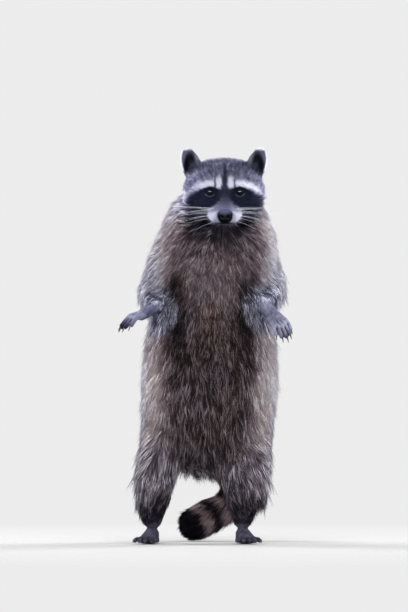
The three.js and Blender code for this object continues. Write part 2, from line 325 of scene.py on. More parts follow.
def plan_head(plan, p, part):
    """Head, ears and ruff: the hair lies away from the nose and lengthens as it goes."""
    x, y, z = p.T
    r = distance(p, NOSE_TIP)
    a, b = np.abs(x - FACE_X), z - EYE_Z
    cheek = soft(42, 66, a) * soft(6, -22, b)
    chin = soft(-38, -60, b) * soft(20, 60, r)
    back = soft(-40, 10, y)
    near_eye = soft(24, 9, eye_gap(p))
    wide = 1 + 0.7 * (x > FACE_X)  # the ruff stands out further on the left
    long = np.interp(r, HEAD_AT, HEAD_LENGTH)
    long += cheek * 12 * wide + chin * 8 + back * soft(30, -40, b) * 10
    long = long * (1 - 0.62 * near_eye)
    deep = np.interp(r, (0, 14, 40, 60, 90, 140), (0.5, 0.7, 1.4, 2.6, 4.2, 5.5))
    deep += cheek * 5 + chin * 4 + back * soft(20, -50, b) * 5
    deep = deep * (1 - near_eye) + 0.8 * near_eye
    radial = p - NOSE_TIP
    radial[:, 2] -= 8 * chin
    radial[:, 0] += (x - FACE_X) * 0.6 * cheek
    way = unit(radial) * (1 - back)[:, None] + np.outer(back, np.array([0, 0.1, -1.0]))
    lay(plan, is_part(part, "head"), deep, long, 0.42 + 0.042 * long, 0.34 * cheek * wide, way)
    lay(plan, is_part(part, "ear"), 0.5, 4.2, 0.6, None, columns(0.25 * np.sign(x - FACE_X), 0.15, 1.0))
    ruff = soft(30, 75, a)
    lay(plan, is_part(part, "neck"), 11 + 2 * ruff, 27 + 8 * ruff, 1.2, 0.12 + 0.26 * ruff * wide,
        columns((x - FACE_X) / 90 * 0.75 * wide, 0.0, -1.0))


def plan_trunk(plan, p, trunk):
    """Straight down the chest, out over the shoulders and hips, in to the middle of the belly, and
    fanning out below each wrist."""
    x, _, z = p.T
    s = (x - np.interp(z, TRUNK_Z, TRUNK_X)) / np.interp(z, TRUNK_Z, TRUNK_HALF)
    edge = soft(0.45, 0.85, np.abs(s))
    aside = 0.25 * s + np.sign(s) * edge * (0.95 * soft(430, 490, z) + 0.80 * soft(270, 210, z) + 0.15)
    aside -= 0.55 * s * (1 - edge) * soft(200, 230, z) * soft(340, 290, z)
    lay(plan, trunk, 14.5, 29 + 11 * soft(440, 300, z) + 6 * edge + 12 * soft(190, 145, z), 1.12,
        0.12 + 0.70 * soft(215, 145, z) + 0.26 * edge, columns(aside, 0.0, -1.0))
    _, length, _, free, lie = plan
    for side, o in OUT.items():
        cuff = cuff_on(p, side)[trunk]
        far = (x - WRIST[side][0])[trunk] * o
        spread = 1.4 * soft(-8, 24, far) - 0.30 * soft(-8, -40, far)
        lie[trunk] += cuff[:, None] * (columns(spread * o, -0.2, -1.0) - lie[trunk])
        length[trunk] += cuff * (38 - length[trunk])
        free[trunk] += cuff * (0.62 - free[trunk])


def plan_arm(plan, p, node, side):
    """Long hair down the arm, hanging from the forearm's under and inner side, short on the hand."""
    o = OUT[side]
    way = unit(ELBOW[side] - SHOULDER[side]) + np.array([1.6 * o, 0, -0.15])
    lay(plan, is_node(node, "upper_arm_" + side), 11.5, 39, 1.2, 0.50, way)
    line = WRIST[side] - ELBOW[side]
    t = np.clip((p - ELBOW[side]) @ line / (line @ line), 0, 1)
    inward = ELBOW[side] + line * t[:, None] - p
    hang = np.maximum(soft(-6, 16, inward[:, 2]), 0.9 * soft(-4, 14, inward[:, 0] * o))
    long = (36 - 19 * soft(0.45, 1.0, t)) * (1 - hang) + (48 - 22 * soft(0.88, 1.05, t)) * hang
    way = unit(line) + np.array([o, 0, -0.5])
    way = way * (1 - 0.75 * hang)[:, None] + np.outer(hang, np.array([-0.22 * o, -0.15, -1.2]))
    onward = (soft(0.55, 0.95, t) * (1 - hang))[:, None]
    way = way * (1 - onward) + unit(REACH[side]) * 1.5 * onward
    lay(plan, is_node(node, "forearm_" + side), 10 - 7.4 * soft(0.55, 1.0, t), long,
        np.clip(0.5 + 0.022 * long, 0.62, 1.2), 0.22 + 0.70 * hang, way)
    long = np.interp(distance(p, WRIST[side]), (0, 12, 24, 45, 70), (15, 9, 5.5, 3.4, 2.2))
    lay(plan, is_node(node, "hand_" + side), -0.8, long, 0.55, None, REACH[side])


def plan_leg(plan, p, node, side):
    """Long loose hair on the outer side of the thigh and shin, short on the foot."""
    x, y, z = p.T
    outer = soft(-10, 45, (x - HIP_X[side]) * OUT[side])
    aside = side_of(p) * (0.15 + outer * (0.42 + 0.58 * soft(120, 200, z)))
    lay(plan, is_node(node, "thigh_" + side, "shank_" + side), np.interp(z, LEG_Z, LEG_DEPTH),
        np.interp(z, LEG_Z, LEG_LENGTH) + 16 * outer * blob(z, 98, 40),
        np.interp(z, (35, 110), (0.65, 1.15)), 0.18 + 0.62 * outer + 0.25 * soft(150, 90, z),
        columns(aside, 0.1, -1.0))
    lay(plan, is_node(node, "foot_" + side), 1.1, np.interp(y, (-75, -50, 0), (2.4, 4, 7)), 0.7, None,
        (0.1 * OUT[side], -1.0, -0.25))


def plan_of(p, part, node):
    """Depth of the coat, length and width of its hairs in mm, how freely they hang, and their lie."""
    n = len(p)
    plan = np.zeros(n), np.zeros(n), np.zeros(n), np.full(n, 0.08), np.zeros((n, 3))
    plan_head(plan, p, part)
    plan_trunk(plan, p, is_part(part, "trunk"))
    for side in SIDES:
        plan_arm(plan, p, node, side)
        plan_leg(plan, p, node, side)
    place, way, _ = tail_place(p)
    lay(plan, is_part(part, "tail"), np.interp(place, (0, 0.1, 0.9, 1), (9, 11, 9, 8)),
        np.interp(place, (0, 0.70, 0.88, 1), (36, 40, 24, 14)), 1.15,
        np.interp(place, (0.70, 0.90), (0.46, 0.30)), way + np.array([0, 0, -0.1]))
    return plan


# The coat's markings: each function gives the tone, 0 black and 1 white, the warmth, from -1 slaty
# through 0 grey to 1 tan, and the grizzle, how far the tips run out pale

# heights, measured from eye level, of the mask's edges at distances from the middle of the face
MASK_OUT = (0, 8, 14, 17, 34, 43, 52, 61, 65, 67)
MASK_TOP = (4, 5, 6.6, 8.2, 6.9, 4.6, -1, -7.4, -11.7, -17)
MASK_FOOT_OUT = (0, 8, 10, 15, 22, 26, 29, 34, 43, 52, 61, 67)
MASK_FOOT = (-10, -11, -17, -21.5, -25, -28.5, -28.5, -31, -33, -31, -25.7, -17)
BROW_OUT = (0, 19, 34, 48, 60, 68, 74)
BROW = (17, 16.5, 14.5, 9, 0, -12, -27)
STRIPE_UP = (-5, 6, 12, 23, 50, 62)
STRIPE_HALF = (9, 6, 4.0, 3.0, 2.0, 1.5)


def lips(y):
    """How far below the eyes the mouth lies, from under the nose back to below the eye."""
    return np.interp(y, (-152, -130, -108, -90, -84), (-56.2, -54.5, -52, -49, -47))


def mouth_line(p, thick):
    """1 on the line between the lips."""
    return blob(p[:, 2] - EYE_Z, lips(p[:, 1]), thick) * soft(-82, -90, p[:, 1])


def eye_opening(p, side):
    """How far out each point is from the middle of the eye, 1 at the lids' edges, how high, and
    how far ahead."""
    ahead = unit(np.array([0.08 * OUT[side], -1.0, 0.0]))
    right = unit(np.cross(ahead, np.array([0, 0, 1.0])))
    d = p - EYE[side]
    u, w = -OUT[side] * (d @ right), d @ ahead
    v = d @ np.cross(right, ahead) - 0.10 * u  # the outer corner sits a little higher
    return np.hypot(u / 6.6, v / np.where(v > 0, 4.9, 5.3)), v, w


def face_marks(p):
    """The head, the coolest grey on the animal."""
    x, y, z = p.T
    sign = np.sign(x - FACE_X)
    a = np.abs(x - FACE_X) + 0.8 * ripple(p, 8, 5)
    b = z - EYE_Z + 0.8 * ripple(p, 8, 6)
    ahead = soft(-18, -42, y)
    tone = 0.555 + 0.05 * ripple(p, 14, 3) - (0.030 + 0.020 * sign) * soft(30, 50, b) * ahead

    def layer(value, amount):
        nonlocal tone
        tone = toward(tone, value, amount * ahead)
        return amount * ahead

    # a black stripe runs down the middle of the forehead to the nose
    half = np.interp(b, STRIPE_UP, STRIPE_HALF)
    stripe = layer(0.31 + 0.05 * soft(20, 8, b), soft(half + 2.0, half - 1.4, a) * soft(62, 40, b))
    # the white brows, which run on down the side of the face
    above = np.abs(b - np.interp(a, BROW_OUT, BROW))
    thick = np.interp(a, (19, 34, 60, 74), (5.3, 6.8, 7.6, 11))
    white = 0.97 - 0.12 * soft(24, 36, a) * (sign < 0) - (0.15 - 0.05 * sign) * soft(40, 62, a)
    brow = layer(white, soft(thick + 3.0, thick - 3.0, above) * soft(16.5, 20, a))
    patch = layer(1.05, oval(a, b, (10.4, 16.3), (5.0, 10.5), 1.5, 0.7))
    layer(0.30, 0.5 * blob(a, 17.4, 1.2) * soft(26, 20, b) * soft(5, 9, b))
    tone = toward(tone, 0.70 - 0.06 * sign, soft(60, 70, a) * soft(8, -8, b) * soft(-8, -34, y))
    # below the mask: grizzled and dark towards the throat, darkest at the jowls
    dark = 0.385 + 0.015 * sign - 0.06 * soft(-38, -52, b) + 0.08 * ripple(p, 5, 8)
    layer(dark, soft(-25, -35, b) * soft(27, 31, a) * soft(72, 60, a))
    layer(0.12, oval(a, b, (32, -54), (11, 9), 1.4, 0.6))
    # the mask itself, blackest at the eyes and slaty towards its ends
    top, foot = np.interp(a, MASK_OUT, MASK_TOP), np.interp(a, MASK_FOOT_OUT, MASK_FOOT)
    rough = 1.8 + 1.6 * soft(30, 60, a)
    slate = 0.13 + 0.17 * soft(17, 5, a) + 0.03 * soft(2, -14, b) * soft(30, 50, a)
    slate = slate + (0.07 + 0.06 * sign) * soft(40, 62, a)
    mask = layer(slate, soft(-rough, rough, top - b) * soft(-rough, rough, b - foot) * soft(70, 61, a))
    # bridge of the nose, then the white of the muzzle and the thin pale lip
    half = np.interp(b, (-40, -24, -12, -4), (13.5, 12, 8, 6.5))
    bridge = layer(0.41 + 0.08 * soft(-10, -24, b), soft(1.5, -1.5, a - half) * soft(-2, -16, b))
    layer(0.58, 0.7 * blob(a, 13, 3.2) * soft(-12, -24, b) * soft(-34, -28, b))
    cream = 0.77 + 0.02 * sign - 0.12 * soft(-46, -54, b) - 0.22 * soft(-40, -31, b)
    muzzle = layer(cream, oval(a, b, (17.4, -42.0), (12.8, 13.4), 1.16, 0.84))
    layer(0.42, soft(-56, -62, b) * soft(34, 18, a))
    under = b - lips(y)
    layer(0.72, soft(-0.8, -2.2, under) * soft(-7.5, -5, under) * soft(-88, -100, y))
    layer(0.08, 0.9 * mouth_line(p, 1.2))
    # black lids, and a thin pale rim along the lower one, partly the lid's own colour and partly a painted
    # reflection on its wet edge
    lids = layer(-0.03, soft(10.6, 8.6, eye_gap(p)))
    for side in SIDES:
        q, v, w = eye_opening(p, side)
        layer(0.42, soft(1.20, 1.30, q) * soft(1.62, 1.46, q) * soft(-1.6, -3.8, v) * (w > 0))
    calm = np.clip(mask + brow + patch + muzzle + lids + bridge + stripe, 0, 1)
    cheek = soft(50, 80, a) * soft(0, -40, b)
    below = soft(-36, -54, b) * (1 - muzzle)
    warm = -0.9 + 0.5 * cheek + 0.4 * soft(-20, 20, y) + 0.9 * below + 0.35 * muzzle
    return tone, warm, 0.62 * (1 - 0.72 * calm)


# how far out the ear reaches from its middle at each height, both as shares of its size
EAR_HEIGHT = (0, 0.15, 0.3, 0.5, 0.65, 0.78, 0.9, 1.0)
EAR_REACH = (0.50, 0.68, 0.83, 0.97, 1.0, 0.95, 0.85, 0.62)


def ear_marks(p):
    """Painted shade in the ear's hollow, grey round it, and a white rim."""
    tone = np.full(len(p), 0.42)
    for side in SIDES:
        low, high = box_mm("ear_" + side)
        mine = (p[:, 0] > FACE_X) == (side == "left")
        mid = (low + high) / 2
        u = (p[:, 0] - mid[0]) / (high[0] - low[0]) * 2 * OUT[side]
        v = (p[:, 2] - low[2]) / (high[2] - low[2])
        front = soft(mid[1] + 3, mid[1] - 5, p[:, 1])
        inside = np.interp(v, EAR_HEIGHT, EAR_REACH) - u
        # the dark hollow is painted shade inside the ear's cup
        shaded_hollow = oval(u - 0.2 * (0.4 - v), v, (0.08, 0.40), (0.64, 0.48), 1.12, 0.50)
        t = 0.50 - 0.52 * shaded_hollow * front + 0.08 * blob(u, -0.50, 0.30) * soft(0.4, 0.6, v) * front
        white = np.maximum(soft(0.21, 0.10, inside) * soft(0.0, 0.25, v),
                           soft(0.86, 0.94, v) * soft(-0.5, 0.1, u))
        t = toward(t, 0.95, white)
        t = toward(t, 0.22, soft(0.30, 0.08, v) * (0.4 + 0.6 * (1 - front)))
        tone = np.where(mine, t, tone)
    return tone, -0.5, 0.10


TRUNK_TONE_Z = (140, 190, 260, 330, 400, 450, 500, 540)
FRONT_TONE = (0.45, 0.45, 0.42, 0.385, 0.47, 0.62, 0.57, 0.50)
# the sides are pale partly from the coat's grizzle and partly as painted rim light
FLANK_TONE_Z = (140, 200, 290, 345, 430, 520, 580, 640)
FLANK_TONE = (0.70, 0.91, 1.08, 0.90, 1.0, 0.98, 0.88, 0.76)


def body_marks(p):
    """The neck and trunk: dark throat, brown grey chest, pale grizzled sides with painted rim light, dark
    line down the back.
    """
    x, y, z = p.T
    cx = np.interp(z, TRUNK_Z, TRUNK_X)
    turn = np.degrees(np.arctan2(np.abs(x - cx), -(y + 8)))  # 0 ahead, 180 at the spine
    front = np.interp(z, TRUNK_TONE_Z, FRONT_TONE)
    flank = np.interp(z, FLANK_TONE_Z, FLANK_TONE) - np.where(x < cx, 0.08, 0.07 * soft(270, 210, z))
    start = np.interp(z, (300, 420, 500, 600), (31, 34, 50, 40))
    tone = toward(front, 0.60, soft(22, start, turn) * soft(430, 500, z))
    tone = toward(tone, flank, soft(start, start + 27, turn))
    tone = toward(tone, 0.50, soft(100, 145, turn))
    tone = toward(tone, 0.27, soft(148, 176, turn))
    tone = tone + 0.045 * ripple(p, 60, 21) + 0.05 * ripple(p, 24, 22)
    warm = 0.54 + 0.10 * ripple(p, 80, 23) - 0.40 * soft(52, 80, turn)
    # the sparse warm patch at the middle of the belly, and painted shade in the hollows beside and under the
    # arms
    spot = blob(x, 4, 20) * blob(z, 392, 32) * (y < 0)
    shaded_hollow = blob(np.abs(x - 11), 63, 17) * blob(z, 402, 50) * (y < 0)
    armpit_shade = blob(np.abs(x - 12), 62, 17) * blob(z, 462, 28) * (y < 0)
    tone = tone - 0.05 * spot - 0.47 * shaded_hollow - (0.24 - 0.05 * np.sign(x)) * armpit_shade
    tone = toward(tone, 0.50, blob(x, FACE_X - 6, 22) * soft(515, 560, z) * soft(20, -20, y))
    groin = blob(x, -4, 46) * soft(200, 150, z)
    tone = toward(tone, 0.40 + 0.12 * soft(165, 138, z), groin)
    warm = warm + 0.5 * spot - 0.3 * groin
    nape = soft(585, 640, z) * soft(-10, 20, y)
    tone = toward(tone, 0.48, 0.6 * nape)
    grizzle = 0.54 - 0.16 * soft(420, 470, z) - 0.16 * soft(50, 80, turn) - 0.22 * shaded_hollow
    for side in SIDES:
        cuff = cuff_on(p, side)
        tone, warm, grizzle = toward(tone, 0.76, cuff), toward(warm, -0.75, cuff), toward(grizzle, 0.95, cuff)
    return tone, warm, grizzle


def arm_marks(p):
    """Pale outside, partly as painted rim light, and darker inside, with painted shade where the upper arm
    meets the body, and a slaty cuff at the wrist.
    """
    x, y, z = p.T
    tone, warm, grizzle = body_marks(p)
    for side, o in OUT.items():
        mine = side_of(p) == o
        line = WRIST[side] - ELBOW[side]
        t = np.clip((p - ELBOW[side]) @ line / (line @ line), -0.3, 1.2)
        outward = (x - ELBOW[side][0]) * o
        cuff = soft(-28, -58, y) * soft(-0.1, 0.4, t)
        # the outer side is paler, partly as painted rim light
        arm = 0.65 + 0.06 * o + 0.50 * soft(-22, 26, outward)
        # painted shade on the inner side of the upper arm, where it meets the body
        arm = arm - (0.22 - 0.05 * o) * soft(-12, -34, outward) * soft(500, 465, z)
        arm = toward(np.minimum(arm, 0.90), 0.75 + 0.08 * o, cuff)
        grizzle = np.where(mine, 0.44 + 0.46 * cuff, grizzle)
        warm = np.where(mine, warm * (1 - cuff) - 1.3 * cuff, warm)
        tone = np.where(mine, toward(arm, tone, soft(500, 540, z)), tone)
    warm = warm * 0.5 - 0.28 * soft(500, 460, z)
    return tone + 0.04 * ripple(p, 22, 31), warm, grizzle


HAND_FAR = (-8, 6, 20, 32, 52, 66)  # distances from the wrist
HAND_TONES = {"left": (0.58, 0.64, 0.54, 0.56, 0.72, 0.72), "right": (0.54, 0.50, 0.48, 0.57, 0.61, 0.46)}


def hand_marks(p):
    tone = np.full(len(p), 0.5)
    for side, tones in HAND_TONES.items():
        reach = unit(REACH[side])
        far = (p - WRIST[side]) @ reach
        upper = (p - WRIST[side] - far[:, None] * reach)[:, 2]
        t = np.interp(far, HAND_FAR, tones) - 0.22 * soft(60, 74, far) - 0.04 * ripple(p, 9, 41)
        # painted light makes the top of the hand paler, and painted shade darkens the furrows between the
        # fingers
        t = t + 0.07 * soft(-4, 10, upper) - 0.34 * between_digits(p, "hand", side)
        tone = np.where(side_of(p) == OUT[side], t, tone)
    return tone, -0.95, 0.14


def leg_marks(p):
    x, _, z = p.T
    body, warm, _ = body_marks(p)
    tone = 0.545 + 0.22 * soft(20, 100, np.abs(x + 4)) * soft(50, 130, z)
    tone = toward(tone, 0.36, soft(105, 50, z))
    mix = soft(150, 235, z)
    return toward(tone, body, mix) + 0.04 * ripple(p, 30, 51), warm * (0.4 + 0.6 * mix), 0.60


def foot_marks(p):
    tone = np.interp(p[:, 1], (-75, -45, 0, 20), (0.38, 0.44, 0.40, 0.34)) + 0.05 * ripple(p, 14, 61)
    for side in SIDES:
        # painted shade darkens the furrows between the toes
        tone = tone - 0.26 * between_digits(p, "foot", side)
    return tone, -0.4, 0.14


# where the tan rings lie along the tail, and their half widths
RINGS = ((0.80, 0.044), (0.645, 0.044), (0.49, 0.044), (0.335, 0.042), (0.18, 0.04), (0.04, 0.03))


def tail_marks(p):
    """Black tip, then tan and black rings."""
    place = tail_place(p)[0] + 0.012 * ripple(p, 18, 71)
    ring = sum(soft(half + 0.018, half - 0.018, np.abs(place - centre)) for centre, half in RINGS)
    ring = np.clip(ring, 0, 1)
    return 0.09 + 0.58 * ring, ring * 0.85, 0.08 + 0.16 * ring


MARKS = (face_marks, ear_marks, body_marks, body_marks, arm_marks, hand_marks, leg_marks, foot_marks,
         tail_marks)


def marks(p, share):
    """Tone, warmth and grizzle at points p, where share says how far each belongs to each part."""
    total = np.zeros((len(p), 3))
    weight = np.zeros(len(p))
    for k, marks_of in enumerate(MARKS):
        used = np.nonzero(share[:, k] > 0.02)[0]
        if len(used):
            total[used] += columns(*marks_of(p[used])) * share[used, k:k + 1]
            weight[used] += share[used, k]
    return total / np.maximum(weight, 1e-6)[:, None]


# Materials

def feed(tree, node, inputs):
    """Sets a node's sockets, each to a value or to the output of another node."""
    for socket, value in inputs.items():
        if isinstance(value, bpy.types.NodeSocket):
            tree.links.new(value, node.inputs[socket])
        else:
            node.inputs[socket].default_value = value


def add(tree, kind, inputs=None, **settings):
    node = tree.nodes.new("ShaderNode" + kind)
    for key, value in settings.items():
        setattr(node, key, value)
    feed(tree, node, inputs or {})
    return node


def new_material(name):
    m = bpy.data.materials.new(name)
    m.use_nodes = True
    return m, m.node_tree


def surface(tree, roughness, specular, colour, **others):
    shader = tree.nodes["Principled BSDF"]
    feed(tree, shader, {"Roughness": roughness, "Specular IOR Level": specular, "Base Color": colour,
                        **others})
    return shader


def ramp(tree, value, *stops):
    r = add(tree, "ValToRGB", {"Fac": value})
    while len(r.color_ramp.elements) < len(stops):
        r.color_ramp.elements.new(0.5)
    for element, (at, colour) in zip(r.color_ramp.elements, stops):
        element.position = at
        element.color = (*colour, 1)
    return r.outputs["Color"]


def noise(tree, scale, detail, stretch=None):
    spot = add(tree, "TexCoord").outputs["Object"]
    if stretch:
        spot = add(tree, "Mapping", {"Vector": spot, "Scale": stretch}).outputs["Vector"]
    return add(tree, "TexNoise", {"Vector": spot, "Scale": scale, "Detail": detail}).outputs["Fac"]


def maths(tree, operation, *values):
    return add(tree, "Math", dict(enumerate(values)), operation=operation).outputs[0]


def relief(tree, height, strength, depth, **settings):
    return add(tree, "Bump", {"Strength": strength, "Distance": depth * MM, "Height": height},
               **settings).outputs["Normal"]


GREY = ((0.00, (0.003, 0.003, 0.005)), (0.15, (0.011, 0.011, 0.017)), (0.32, (0.044, 0.038, 0.050)),
        (0.50, (0.152, 0.132, 0.178)), (0.70, (0.41, 0.39, 0.47)), (1.00, (0.84, 0.84, 0.93)))
TAN = ((0.00, (0.005, 0.004, 0.003)), (0.25, (0.045, 0.028, 0.022)), (0.50, (0.240, 0.152, 0.166)),
       (0.75, (0.52, 0.38, 0.34)), (1.00, (0.80, 0.70, 0.64)))
SLATE = ((0.00, (0.003, 0.003, 0.006)), (0.15, (0.012, 0.015, 0.033)), (0.32, (0.042, 0.045, 0.082)),
         (0.50, (0.140, 0.142, 0.242)), (0.70, (0.39, 0.39, 0.53)), (1.00, (0.88, 0.89, 1.00)))
SKY_TINT = (0.72, 0.82, 1, 1)


def fur(name, speckle, nap):
    """Fur on skin or tuft: tone, warmth and coolness come from the marking that each point carries."""
    m, tree = new_material(name)
    mark = add(tree, "Attribute", attribute_name="marking")
    part = add(tree, "SeparateColor", {"Color": mark.outputs["Color"]})
    shift = maths(tree, "MULTIPLY_ADD", noise(tree, speckle, 4), 0.12, -0.06)
    tone = maths(tree, "ADD", part.outputs["Red"], shift)
    colour = ramp(tree, tone, *GREY)
    for stops, amount in ((TAN, "Green"), (SLATE, "Blue")):
        mix = {"Factor": part.outputs[amount], 6: colour, 7: ramp(tree, tone, *stops)}
        colour = add(tree, "Mix", mix, data_type="RGBA").outputs[2]
    bump = {"Normal": relief(tree, noise(tree, 700, 5), nap, 0.8)} if nap else {}
    surface(tree, 0.70, 0.012, colour, **bump)
    return m


def eye_material():
    """A dark brown eye, read outwards from the pupil along the ball's own map."""
    m, tree = new_material("dark_eye")
    split = add(tree, "SeparateXYZ", {"Vector": add(tree, "UVMap", uv_map="UVMap").outputs["UV"]})
    rings = ramp(tree, split.outputs["Y"], (0.60, (0.004, 0.004, 0.005)), (0.70, (0.001, 0.001, 0.001)),
                 (0.76, (0.004, 0.0025, 0.002)), (0.84, (0.002, 0.0014, 0.001)),
                 (0.87, (0.0005, 0.0005, 0.0006)))
    surface(tree, 0.05, 0.12, rings, **{"Specular Tint": SKY_TINT})
    return m


def leather_material():
    m, tree = new_material("nose_leather")
    spot = add(tree, "TexCoord").outputs["Object"]
    height = add(tree, "SeparateXYZ", {"Vector": spot}).outputs["Z"]
    rise = add(tree, "MapRange", {"Value": height, "From Min": (NOSE[2] - 2) * MM,
                                  "From Max": (NOSE[2] + 9) * MM})
    # black leather at the bottom, turning to a painted bluish light on the top of the nose
    leather_and_top_light = ramp(tree, rise.outputs["Result"], (0.0, (0.001, 0.001, 0.002)), (0.50, (0.008, 0.009, 0.015)),
                (1.0, (0.075, 0.080, 0.16)))
    pebble = add(tree, "TexVoronoi", {"Vector": spot, "Scale": 1100}).outputs["Distance"]
    surface(tree, 0.34, 0.03, leather_and_top_light, Normal=relief(tree, pebble, 0.45, 0.5, invert=True),
            **{"Specular Tint": SKY_TINT})
    return m


def streaked(name, roughness, specular, grain, dark, pale):
    """Claw or whisker: two close colours in soft streaks."""
    m, tree = new_material(name)
    surface(tree, roughness, specular, ramp(tree, noise(tree, *grain), (0.3, dark), (0.7, pale)))
    return m


SKIN_FUR, COAT_FUR = fur("short_fur", 900, 0.55), fur("long_fur", 260, 0)
LEATHER, DARK_EYE = leather_material(), eye_material()
HORN = streaked("horn", 0.32, 0.5, (420, 3, (1, 1, 0.2)), (0.012, 0.010, 0.010), (0.05, 0.042, 0.040))
WHISKER = streaked("whisker", 0.4, 0.4, (60, 2), (0.70, 0.72, 0.80), (0.92, 0.93, 1.0))


# The skin

def nearest_nodes(p):
    """For each point, the flesh node that it lies on."""
    corners, triangles, owner = [], [], []
    for k, n in enumerate(FLESH):
        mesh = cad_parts[n].data
        mesh.calc_loop_triangles()
        base = len(corners)
        corners += [v.co / MM for v in mesh.vertices]
        for t in mesh.loop_triangles:
            triangles.append([base + i for i in t.vertices])
            owner.append(k)
    nodes = BVHTree.FromPolygons(corners, triangles)
    return np.array([owner[nodes.find_nearest(Vector(q))[2]] for q in p])


VOXEL, SWELL = 2.0, 0.25  # the skin's first mesh, and the swelling that joins touching nodes
SHORT_FUR_Y = -30  # the head's fur is short ahead of this
PART_OF_NODE = np.array([k for k, part in enumerate(PARTS) for _ in NODES[part]])
skin = copy_of(FLESH + ["eye_left", "eye_right"], "skin")
modify(skin, "DISPLACE", strength=SWELL * MM, mid_level=0, direction="NORMAL")
modify(skin, "REMESH", mode="VOXEL", voxel_size=VOXEL * MM)
modify(skin, "SMOOTH", factor=0.5, iterations=3)
# coarser under the long coat, finer where the fur is short
p = points_of(skin.data)
part = PART_OF_NODE[nearest_nodes(p)]
fine = is_part(part, "ear", "hand", "foot") | (is_part(part, "head") & (p[:, 1] < SHORT_FUR_Y))
group = skin.vertex_groups.new(name="under_long_fur")
group.add(np.nonzero(~fine)[0].tolist(), 1.0, "REPLACE")
modify(skin, "DECIMATE", decimate_type="COLLAPSE", ratio=0.33, use_collapse_triangulate=True,
       vertex_group="under_long_fur", vertex_group_factor=1.0)
skin.vertex_groups.clear()
# finer again round the eyes and at the front of the muzzle, and the first time at the fingertips too
for gap, fingers in ((26, True), (15, False)):
    c = read(skin.data.polygons, "center").astype(float) / MM
    near = (eye_gap(c) < gap) | ((distance(c, NOSE_TIP) < gap * 1.5) & (c[:, 2] < NOSE[2] + 6))
    for side in SIDES if fingers else ():
        d = c - WRIST[side]
        near |= (d @ unit(REACH[side]) > 40) & (np.linalg.norm(d, axis=1) < 95)
    pick(skin)
    mode("EDIT")
    bpy.ops.mesh.select_all(action="DESELECT")
    bpy.ops.mesh.select_mode(type="FACE")
    mode("OBJECT")
    skin.data.polygons.foreach_set("select", near)
    mode("EDIT")
    bpy.ops.mesh.subdivide(number_cuts=1)
    mode("OBJECT")
    modify(skin, "TRIANGULATE")

p = points_of(skin.data)
edges = read(skin.data.edges, "vertices", 2, np.int32)
node = nearest_nodes(p)
part = PART_OF_NODE[node]
share = evened(np.eye(len(PARTS))[part], edges, 14)
depth, length, width, free, lie = plan_of(p, part, node)
depth = evened(depth, edges, 30)
lie = unit(evened(unit(lie), edges, 44))
length, width, free = evened(np.stack([length, width, free], 1), edges, 14).T


SINK_STEPS = 6
FOLDED = 0.62  # the skin is folded where it faces further from the body's outward way than this cosine


def pushed(p, amount):
    """The skin's points moved that far out along its normals."""
    put_points(skin.data, p)
    return p + normals_of(skin.data) * amount[:, None]


def sink(p, depth):
    """Moves the skin in from the coat's tips to the coat's roots, evening it on the way."""
    for _ in range(SINK_STEPS):
        p = pushed(p, -depth / SINK_STEPS)
        p = p + (evened(p, edges, 1, hold=0.5) - p) * soft(2, 9, depth)[:, None]
    return p


def unfold(p, outward):
    """Flattens the few places where sinking has folded the skin over itself."""
    for _ in range(3):
        put_points(skin.data, p)
        folded = (dot(normals_of(skin.data), outward) < FOLDED) & (depth > 5)
        near = np.clip(evened(folded.astype(float), edges, 8) * 9, 0, 1)
        p = p + (evened(p, edges, 50) - p) * near[:, None]
    return p


def shape_eyes(p):
    """Lids that lie on the eyeball round an almond opening, with a fold above and below."""
    near_eye, socket = 17, 1.2  # how far the lids reach, and how far behind the ball's front the skin lies
    for side in SIDES:
        q, v, w = eye_opening(p, side)
        d = p - EYE[side]
        gap = np.linalg.norm(d, axis=1)
        near = (w > 0) & (gap < near_eye)
        lid = EYE_RADIUS + 0.95 + 0.35 * blob(q, 1.35, 0.22) * (v > 0) - 0.35 * blob(q, 1.75, 0.2)
        lid = np.maximum(gap, lid * soft(2.6, 2.0, q) + gap * soft(2.0, 2.6, q))
        want = np.where(q < 0.97, EYE_RADIUS - socket, lid)
        p = np.where(near[:, None], EYE[side] + d * (want / np.maximum(gap, 1e-6))[:, None], p)
    return p


def shape_muzzle(p):
    """Whisker pads either side of a groove under the nose, and the line of the mouth."""
    x, y, z = p.T
    a, b = np.abs(x - FACE_X), z - EYE_Z
    ahead = soft(-92, -112, y)
    pads = 1.4 * blob(a, 15, 9) * blob(b, -42, 9) * ahead
    groove = 1.3 * blob(a, 0, 1.5) * soft(-41, -46, b) * soft(-60, -56, b) * ahead
    p = pushed(p, pads - groove - 1.6 * mouth_line(p, 1.4))
    # the hair lies down evenly to the rim of the bare nose
    q = np.abs(p - NOSE) / NOSE_HALF
    rim = soft(1.65, 1.2, (q[:, 0] ** 2.5 + q[:, 2] ** 2.5) ** 0.4) * (p[:, 1] < NOSE[1] + 6)
    return p + (evened(p, edges, 12) - p + np.array([0, 0.8, 0])) * rim[:, None]


def shape_digits(p):
    """Furrows that part the fingers and the toes."""
    push = np.zeros(len(p))
    for limb, deep in (("hand", 2.4), ("foot", 2.6)):
        for side in SIDES:
            push += deep * between_digits(p, limb, side) * share[:, PARTS.index(limb)]
    return pushed(p, -push)


def store_marks(mesh, tone, warm):
    values = columns(np.clip(tone, 0, 1), np.clip(warm, 0, 1), np.clip(-warm, 0, 1), 1.0)
    write(mesh.attributes.new("marking", "FLOAT_COLOR", "POINT").data, "color", values)


tips = p
outward = unit(evened(normals_of(skin.data), edges, 12))
p = unfold(sink(p, depth), outward)
for side in SIDES:  # the long coat of the limb runs out smoothly into the short hair of the hand
    joint = soft(30, 12, distance(p, WRIST[side] - unit(REACH[side]) * 4))
    p = p + (evened(p, edges, 16) - p) * joint[:, None]
p = shape_digits(shape_eyes(shape_muzzle(p)))
put_points(skin.data, p)
normal = normals_of(skin.data)
